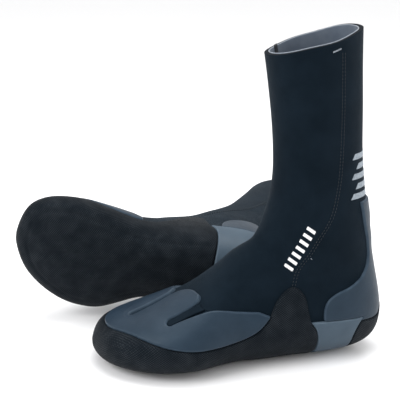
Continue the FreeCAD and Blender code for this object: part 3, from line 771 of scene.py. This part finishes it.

# %% [markdown]
# The arch panel is the same rubber in a paler blue-grey, a little dustier.  Its
# colour is painted lighter along the rim: a painted highlight on the rolled edge.

# %% Pale arch rubber
pale = Recipe("pale_arch_rubber", 0.5, coat=0.03, coat_roughness=0.4, specular=0.3)
body = pale.ramp(pale.mottle(16.0, 4.0), [(0.25, (0.030, 0.052, 0.076)), (0.75, (0.044, 0.072, 0.100))])
# Painted highlight: the colour turns lighter along the rim, in patches.
rim = pale.sum("MULTIPLY", pale.edge(1.6), pale.mottle(5.0))
pale.colour(pale.blend_colour(rim, body, (0.12, 0.16, 0.2)))
pale.shine(pale.mottle(4.0), 0.42, 0.58)
pale.relief((pale.pores(0.9), 0.04), (pale.mottle(0.6, 3.0), 0.05))

# %% [markdown]
# The lining is a brushed knit in grey-blue, seen down the cuff.  Its lip, where
# it meets the black cut foam, is painted lighter as a fine line: a painted
# highlight on the lining's edge.  The foam has small open cells.

# %% Lining, its lip with a painted highlight, and the cut foam
knit = Recipe("grey_knit_lining", 0.85, sheen=0.2, specular=0.2)
knit.colour(knit.ramp(knit.mottle(12.0, 4.0), [
    (0.25, (0.082, 0.104, 0.138)), (0.75, (0.118, 0.142, 0.178))]))
knit.relief((knit.woven(1.3, 1.7), 0.12), (knit.mottle(0.7, 3.0), 0.12))
lip_highlight = Recipe("lining_lip_highlight", 0.8, sheen=0.3)
lip_highlight.colour(lip_highlight.ramp(lip_highlight.mottle(3.0), [(0.2, (0.17, 0.20, 0.24)), (0.8, (0.27, 0.30, 0.34))]))
lip_highlight.relief((lip_highlight.mottle(0.5), 0.1), (lip_highlight.woven(0.8, 0.8), 0.05))
foam_cut = Recipe("cut_foam_edge", 0.9, specular=0.1)
cells = foam_cut.pores(0.45)
foam_cut.colour(foam_cut.ramp(cells, [(0.1, (0.002, 0.003, 0.005)), (0.8, (0.007, 0.010, 0.014))]))
foam_cut.relief((cells, 0.12), (foam_cut.mottle(2.0), 0.1))

# %% [markdown]
# Small things: the white rubber print, the grey print, black sewing thread,
# the white bar tack, and the seam tape inside the cuff.

# %% Prints, threads and tape
def print_finish(name, dark, light, roughness):
    ink = Recipe(name, roughness)
    ink.colour(ink.ramp(ink.mottle(2.5, 4.0), [(0.25, dark), (0.6, light)]))
    ink.relief((ink.mottle(0.7, 2.0), 0.05), (ink.woven(0.9, 0.7), 0.02))
    return ink.material

white_print = print_finish("white_rubber_print", (0.62, 0.63, 0.64), (0.8, 0.8, 0.8), 0.5)
grey_print = print_finish("grey_rubber_print", (0.14, 0.17, 0.2), (0.25, 0.29, 0.33), 0.5)
black_thread = print_finish("black_thread", (0.012, 0.013, 0.016), (0.026, 0.028, 0.032), 0.45)
white_thread = print_finish("white_thread", (0.2, 0.23, 0.27), (0.32, 0.35, 0.39), 0.6)
seam_tape = print_finish("black_seam_tape", (0.010, 0.011, 0.014), (0.02, 0.022, 0.027), 0.4)
print("finishes", len(bpy.data.materials))

# %% [markdown]
# The sock of the boot is one tube of foam: outside face, cut edge at the cuff,
# and inside face.  The real one is cut and glued from panels, but the foam is
# continuous, so it is made as one skin that can bend at the ankle.  The lining
# is a second, thinner tube inside it, with a bright lip at the cuff.

# %% The tube of foam and its lining
def cuff_wave(base):
    turn = np.arctan2(base[:, 1], base[:, 0] - (shin_x_at_cuff - cuff_depth / 2))
    return 0.55 * np.sin(2 * turn + 0.6) + 0.4 * np.sin(5 * turn + 1.9)

def tube(step, outer, inner, first_t, lip, lip_rows):
    """A closed tube between two depths, with a shaped lip at the cuff."""
    u_out = rows_between(0, last_t, step)
    u_in = rows_between(first_t, last_t, step * 1.6)[::-1]
    v = 18.0 + np.arange(0, ring_points, ring_points / round(230.0 / step))
    rows = []
    for u, depth in ((u_out if lip == "sock" else u_in[::-1], outer), (u_in, inner)):
        grid = folded_skin(u, v)
        rows.append(grid[:, :, :3] + grid[:, :, 3:6] * depth)
    mouth = []
    for across, up in lip_rows:
        mouth.append((rows[0][-1] * (1 - across) + rows[1][0] * across + cuff_up * up)[None])
    grid = np.concatenate([rows[0]] + mouth + [rows[1]])
    wave = cuff_wave(grid[len(rows[0]) - 1])
    high = np.clip((grid[:, :, 2] - (cuff_height - 45)) / 45, 0, 1) ** 2
    grid = grid + cuff_up * (high * wave)[:, :, None]
    n, m = grid.shape[:2]
    i, j = np.meshgrid(np.arange(n - 1), np.arange(m), indexing="ij")
    k = (j + 1) % m
    quads = np.stack([i * m + j, (i + 1) * m + j, (i + 1) * m + k, i * m + k], 2).reshape(-1, 4)
    faces = quads.tolist() + [list(range(m))[::-1], list(range((n - 1) * m, n * m))]
    looks = np.zeros(len(faces), int)
    a, b = len(rows[0]) - 1, len(rows[0]) + len(mouth)
    looks[a * m:b * m] = 1
    return grid.reshape(-1, 3), faces, looks

foot_soft = ["vamp", "quarter", "ankle_gusset_front", "ankle_gusset_rear", "shaft_front",
             "shaft_rear"]
points, faces, looks = tube(1.5, 0.0, -foam_thickness, 2.0, "sock",
                            [(0.03, 0.12), (0.1, 0.22), (0.35, 0.05), (0.65, 0.0), (0.9, 0.12)])
make_pair("sock", points, faces, [jersey.material, foam_cut.material], "both", foot_soft,
          looks=looks)
# The lining's lip at the cuff takes the lighter finish: a painted highlight on its edge.
points, faces, looks = tube(1.8, -foam_thickness - 0.05, -neoprene_thickness, 2.0, "lining",
                            [(0.1, 0.55), (0.5, 0.75), (0.9, 0.45)])
make_pair("lining", points, faces, [knit.material, lip_highlight.material], "both",
          ["lining_foot", "lining_shaft"], looks=looks)

# %% [markdown]
# The forefoot shell is one moulded rubber piece: sole, toe bumper and the tab
# that climbs the outer and inner waist.  The sole has a shallow line sunk all
# round, a finger's width in from the edge, where the real mould has a step.

# %% Forefoot shell
def side_view(shape):
    return lambda p: inside_by(p[:, [0, 2]], shape)

widest = np.stack([rings[:13, :, 0].mean(1), rings[:13, :, 1].max(1), rings[:13, :, 1].min(1)], 1)
sole_edge = np.concatenate([
    widest[:, [0, 1]], [(120, 40), (80, 38), (60, 38), (60, -38), (80, -38), (120, -36)],
    widest[::-1, [0, 2]]])

line_inset, line_width = 12.5, 1.7

def sole_line(base, edge):
    down = np.clip(-np.interp(base[:, 2], [4, 16], [1, 0]), -1, 0)
    inset = inside_by(base[:, :2], sole_edge)
    step = 0.5 * np.exp(-((inset - line_inset) / line_width) ** 2)
    step = step + 0.1 / (1 + np.exp(-(inset - line_inset) / 0.8))
    return 1 + down * step

def rubber_piece(name, shape, step, roll, finish, sculpt=None):
    points, faces, edge = layer(side_view(shape), step, rubber_thickness, roll, sole=sole_extra,
                                shape=sculpt)
    points[:, 2] = np.maximum(points[:, 2], 0)
    make_pair(name, points, faces, finish, "foot", [name], edge)

rubber_piece("forefoot_shell", forefoot_outline, 1.1, 2.0, tread.material,
             sole_line)

# %% [markdown]
# Behind it come the pale arch panel and the heel cup.  They are butted
# together, each with its own rolled rim, so a fine dark line shows between.

# %% Arch panel and heel cup
rubber_piece("arch_panel", arch_outline, 1.2, 1.3, pale.material)
rubber_piece("heel_cup", heel_outline, 1.2, 1.6, tread.material)

# %% [markdown]
# The slate heel panel wraps the heel and runs up the Achilles tendon as a
# tapering strip.  It crosses the ankle joint, so it bends with the sock.

# %% Heel panel
points, faces, edge = layer(side_view(overlay_outline), 1.2, heel_overlay_thickness, 1.7)
make_pair("heel_panel", points, faces, slate.material, "both",
          ["heel_overlay", "achilles_gusset", "achilles_strip"], edge)

# %% [markdown]
# Over the toes lies a thick slate cap with three puffed lobes, parted by a thin
# slot on the inner side and a wider round-ended one on the outer side.  The
# slots let the toes flex.  The cap is drawn partly from above and partly from
# the side, and its edge is rolled over more than any other.

# %% Toe cap
top_starts_z = 44
lobe_fillet, slot_fillet = 14, 9
toe_slots = (((138, 29.5, 213, 32), 3.4), ((190, -12.5, 244, -4.5), 2.3))

def rounded_slot(p, x0, y0, x1, y1, radius):
    return distance_to_line(p[:, :2], np.array([(x0, y0), (x1, y1)], float)) - radius

def softened(a, b, fillet):
    """The larger of two depths, with the hollow corner between them filled."""
    return np.maximum(a, b) + np.maximum(fillet - np.abs(a - b), 0) ** 2 / (4 * fillet)

def whole_cap(p):
    """The cap as if it had no slots."""
    front = inside_by(p[:, :2], cap_front)
    outer = np.minimum(inside_by(p[:, [0, 2]], outer_lobe), p[:, 1] - 26)
    inner = np.minimum(inside_by(p[:, [0, 2]], inner_lobe), -12 - p[:, 1])
    return softened(softened(front, outer, lobe_fillet), inner, lobe_fillet)

def toe_region(p):
    cap = whole_cap(p)
    up = p[:, 2] > top_starts_z
    for slot, r in toe_slots:
        cap = np.where(up, -softened(-cap, -rounded_slot(p, *slot, r), slot_fillet), cap)
    return np.minimum(cap, inside_by(p[:, [0, 2]], above_shell))

def puffed(base, edge):
    return 0.86 + 0.14 * np.clip(edge / 11, 0, 1)

points, faces, edge = layer(toe_region, 0.9, toe_cap_thickness, 2.2, shape=puffed)
make_pair("toe_cap", points, faces, slate.material, "foot", ["toe_cap"], edge)

# %% [markdown]
# Between the lobes the real boot shows black neoprene.  Here black jersey is
# raised to about half the lobes' height: painted shade standing in for the shade
# deep in the slots, so the slots read as dark lines.

# %% Black fill in the lobe slots, standing in for their shade
def slot_shade_region(p):
    fill = np.full(len(p), -99.0)
    for slot, r in toe_slots:
        fill = np.maximum(fill, 0.5 - rounded_slot(p, *slot, r))
    return np.minimum(fill, np.minimum(whole_cap(p) - 1, p[:, 2] - top_starts_z))

# Raised black fill: painted shade for the slots, over the real black neoprene.
points, faces, edge = layer(slot_shade_region, 0.8, 0.55 * toe_cap_thickness, 1.2)
make_pair("lobe_slot_shade", points, faces, jersey.material, "foot", [], edge)

# %% [markdown]
# The panels are blind-stitched: a needle catches half the foam's thickness, so
# outside there is only a low welt with two rows of tiny stitches.  The welt is
# a thin layer along the seam line, and each stitch is a small thread tube laid
# on the skin by casting a ray at it from the side.

# %% Side seams and their stitches
seam_half_width, seam_low_z = 1.3, 72
stitch_pitch, stitch_long, stitch_radius, stitch_row = 3.2, 0.9, 0.26, 1.35

def seam_region(p):
    near = distance_to_line(p[:, [0, 2]], seam_line)
    return np.minimum(seam_half_width - near, p[:, 2] - seam_low_z)

def welt(base, edge):
    return 0.35 + 0.65 * np.exp(-((edge - 0.7) / 0.35) ** 2)

points, faces, edge = layer(seam_region, 0.75, 0.4, 0.5, shape=welt)
make_pair("side_seams", points, faces, jersey.material, "both", ["side_seams"], edge)

skin_points = folded_skin(rows_between(0, last_t, 2.0), np.arange(0, ring_points, 0.2))[:, :, :3]
rows, across = skin_points.shape[:2]
skin_faces = [(i * across + j, (i + 1) * across + j, (i + 1) * across + (j + 1) % across,
               i * across + (j + 1) % across) for i in range(rows - 1) for j in range(across)]
skin_tree = BVHTree.FromPolygons(skin_points.reshape(-1, 3).tolist(), skin_faces)

def on_side(x, z, side, lift):
    """The point of the skin seen from that side at x, z, lifted off it."""
    hit = skin_tree.ray_cast(Vector((x, 150 * side, z)), Vector((0, -side, 0)))
    if hit[0] is None:
        return None
    normal = hit[1] if hit[1].y * side > 0 else -hit[1]
    return np.array(hit[0] + normal * lift)

def thread(path, radius, sides=6):
    """A round thread along the path, closed at both ends."""
    path = np.array(path)
    points, faces = [], []
    for i, p in enumerate(path):
        way = path[min(i + 1, len(path) - 1)] - path[max(i - 1, 0)]
        way /= np.linalg.norm(way)
        a = np.cross(way, (0.0, 1.0, 0.02))
        a /= np.linalg.norm(a)
        b = np.cross(way, a)
        thin = 0.55 if i in (0, len(path) - 1) else 1.0
        for k in range(sides):
            t = 2 * math.pi * k / sides
            points.append(p + radius * thin * (a * math.cos(t) + b * math.sin(t)))
    for i in range(len(path) - 1):
        for k in range(sides):
            m = (k + 1) % sides
            faces.append([i * sides + k, i * sides + m, (i + 1) * sides + m, (i + 1) * sides + k])
    faces.append(list(range(sides))[::-1])
    faces.append([(len(path) - 1) * sides + k for k in range(sides)])
    return points, faces

def gather(parts):
    points, faces = [], []
    for p, f in parts:
        faces += [[i + len(points) for i in face] for face in f]
        points += list(p)
    return np.array(points), faces

walked_seam = np.concatenate([[0], np.cumsum(np.linalg.norm(np.diff(seam_line, axis=0), axis=1))])
stitches = []
for side in (1, -1):
    for row in (-stitch_row, stitch_row):
        for d in np.arange(8.0, walked_seam[-1] - 34, stitch_pitch):
            ends = []
            for along in (d, d + stitch_long, d + 2 * stitch_long):
                x, z = (np.interp(along, walked_seam, seam_line[:, k]) for k in (0, 1))
                rise = 0.28 if along == d + stitch_long else 0.0
                spot = on_side(x + row, z, side, rise)
                if spot is not None:
                    ends.append(spot)
            if len(ends) == 3 and ends[0][2] < cuff_height - 8:
                stitches.append(thread(ends, stitch_radius, 5))
points, faces = gather(stitches)
make_pair("blind_stitches", points, faces, black_thread, "both", [])
print("blind stitches per boot", len(stitches))

# %% [markdown]
# Plain rubber bars are printed along the seam above the outer ankle, and wider
# grey ones round the back of the calf.  They stand for no mark of any maker:
# they are only bars, a third of a millimetre thick.

# %% Printed bars
def bar(cx, cz, ux, uz, thick, tall, lean):
    corners = [(-thick / 2, 0), (thick / 2, 0), (thick / 2 + lean, tall), (-thick / 2 + lean, tall)]
    return np.array([(cx + ux * a + uz * b, cz + uz * a - ux * b) for a, b in corners])

bar_count, bar_width, bar_height, bar_lean, print_thickness = 7, 3.2, 9.0, 1.2, 0.3
first_bar, last_bar = np.array([96.0, 96.0]), np.array([77.0, 133.0])
bar_long = float(np.linalg.norm(last_bar - first_bar))
bar_way = (last_bar - first_bar) / bar_long
bars = [bar(first_bar[0] + bar_way[0] * d, first_bar[1] + bar_way[1] * d, *bar_way, bar_width,
            bar_height, bar_lean) for d in bar_long * np.arange(bar_count) / (bar_count - 1)]

def ankle_bars(p):
    inside = np.max([inside_by(p[:, [0, 2]], b) for b in bars], axis=0)
    return np.minimum(inside, p[:, 1])

points, faces, edge = layer(ankle_bars, 0.55, print_thickness, 0.35)
make_pair("ankle_bars", points, faces, white_print, "both", ["ankle_print_low", "ankle_print"],
          edge)

calf_bar_count, calf_bar_pitch, calf_bar_height, calf_low_z = 5, 9.5, 5.5, 162
calf_shapes = []
for i in range(calf_bar_count):
    low_z, reach = calf_low_z + i * calf_bar_pitch, 42 - 5 * (i % 2)
    high_z = low_z + calf_bar_height
    calf_shapes.append(np.array([(-40, low_z), (reach, low_z), (reach - 3, high_z), (-40, high_z)],
                                float))

def calf_bars(p):
    return np.max([inside_by(p[:, [0, 2]], s) for s in calf_shapes], axis=0)

points, faces, edge = layer(calf_bars, 0.7, print_thickness, 0.4)
make_pair("calf_bars", points, faces, grey_print, "shaft", ["calf_print"], edge)

# %% [markdown]
# A short bar tack in white thread locks the seam under the cuff: a dozen tight
# stitches side by side.  Inside the front of the cuff the end of the black
# seam tape shows.  One loose dot of thread marks the joint by the ankle.

# %% Bar tack, thread dot and tape end
tack_x, tack_z, tack_long, tack_fall = 59.6, 304.1, 7.4, 2.6
tack = []
for t in np.linspace(0, 1, 11):
    x, z = tack_x + tack_long * t, tack_z - tack_fall * t
    low_end, mid, high_end = (on_side(x + dx, z + dz, 1, lift) for dx, dz, lift in
                              ((-0.15, -0.75, 0.0), (0.0, 0.0, 0.42), (0.15, 0.75, 0.0)))
    tack.append(thread([low_end, mid, high_end], 0.33))
points, faces = gather(tack)
make_pair("bar_tack", points, faces, white_thread, "shaft", ["cuff_bartack"])
dot = [on_side(80 + dx, 108 + dz, 1, lift) for dx, dz, lift in
       ((-0.7, -0.5, 0.0), (0.0, 0.0, 0.4), (0.7, 0.5, 0.0))]
points, faces = thread(dot, 0.35)
make_pair("thread_dot", np.array(points), faces, white_thread, "both", [])

def tape_piece():
    """A folded end of tape against the lining, standing a little past the cuff."""
    u = rows_between(np.interp(walked[-1] - 30, walked, fine_u), last_t, 1.5)
    ring = skin_at([last_t], np.arange(0, ring_points, 0.05))[0]
    pick = np.where((ring[:, 0] > 98) & (ring[:, 1] < 0))[0]
    best = pick[np.argmin(np.abs(ring[pick, 0] - 106))]
    v = best * 0.05 + np.linspace(-0.24, 0.24, 6)
    grid = folded_skin(u, v)
    base, out = grid[:, :, :3], grid[:, :, 3:6]
    rough = 0.35 * np.sin(np.arange(len(u)) * 1.7)[:, None, None]
    rise = np.linspace(0, 1, len(u))[:, None, None] ** 6 * 1.6 * cuff_up
    front = base - out * (neoprene_thickness + 0.75 + 0.3 * rough) + rise
    rear = base - out * (neoprene_thickness - 0.05) + rise
    n, m = len(u), len(v)
    points = np.concatenate([front.reshape(-1, 3), rear.reshape(-1, 3)])
    faces = []
    for i in range(n - 1):
        for j in range(m - 1):
            a = [i * m + j, i * m + j + 1, (i + 1) * m + j + 1, (i + 1) * m + j]
            faces += [a, [k + n * m for k in a[::-1]]]
    rim = ([(0, j) for j in range(m)] + [(i, m - 1) for i in range(1, n)]
           + [(n - 1, j) for j in range(m - 2, -1, -1)] + [(i, 0) for i in range(n - 2, 0, -1)])
    for (a, b), (c, d) in zip(rim, rim[1:] + rim[:1]):
        p, q = a * m + b, c * m + d
        faces.append([q, p, p + n * m, q + n * m])
    return points, faces

points, faces = tape_piece()
make_pair("tape_end", points, faces, seam_tape, "shaft", ["cuff_tape"])

# %% [markdown]
# A plain pale floor and three large soft lights, as in a product studio.  The
# floor is a little glossy, so that the soles are faintly mirrored in it.

# %% Floor, light and camera
def flat_sheet(name, corners):
    mesh = bpy.data.meshes.new(name)
    mesh.from_pydata(corners, [], [tuple(range(len(corners)))])
    sheet = bpy.data.objects.new(name, mesh)
    bpy.context.scene.collection.objects.link(sheet)
    return sheet

floor = flat_sheet("studio_floor", [(-6, -4, 0), (6, -4, 0), (6, 9, 0), (-6, 9, 0)])
ground = bpy.data.materials.new("pale_floor")
ground.use_nodes = True
g = next(n for n in ground.node_tree.nodes if n.type == "BSDF_PRINCIPLED")
g.inputs["Base Color"].default_value = (0.9, 0.9, 0.91, 1)
g.inputs["Roughness"].default_value = 0.22
floor.data.materials.append(ground)

def soft_light(name, at, aim, size, power, colour=(1, 1, 1)):
    lamp = bpy.data.lights.new(name, "AREA")
    lamp.shape = "RECTANGLE"
    lamp.size, lamp.size_y = size
    lamp.energy, lamp.color = power, colour
    holder = bpy.data.objects.new(name, lamp)
    holder.location = at
    holder.rotation_euler = (Vector(aim) - Vector(at)).to_track_quat("-Z", "Y").to_euler()
    bpy.context.scene.collection.objects.link(holder)

soft_light("left_softbox", (-1.3, -0.9, 1.3), (0, 0, 0.1), (1.0, 1.2), 22)
soft_light("top_softbox", (0.1, 0.2, 1.8), (0, 0, 0.1), (1.6, 1.2), 24)
soft_light("right_softbox", (1.5, -0.5, 0.9), (0, 0, 0.15), (0.9, 1.2), 7)
world = bpy.data.worlds.new("studio")
world.use_nodes = True
sky = next(n for n in world.node_tree.nodes if n.type == "BACKGROUND")
sky.inputs["Color"].default_value = (1, 1, 1, 1)
sky.inputs["Strength"].default_value = 1.0
bpy.context.scene.world = world
bpy.context.scene.view_settings.view_transform = "Standard"

lens = bpy.data.cameras.new("camera")
lens.lens = 993 * 36 / 400
camera = bpy.data.objects.new("camera", lens)
camera.location = (0.0078, -1.0503, 0.4268)
camera.rotation_euler = Vector((0, 0.958, -0.2855)).to_track_quat("-Z", "Y").to_euler()
bpy.context.scene.collection.objects.link(camera)
bpy.context.scene.camera = camera
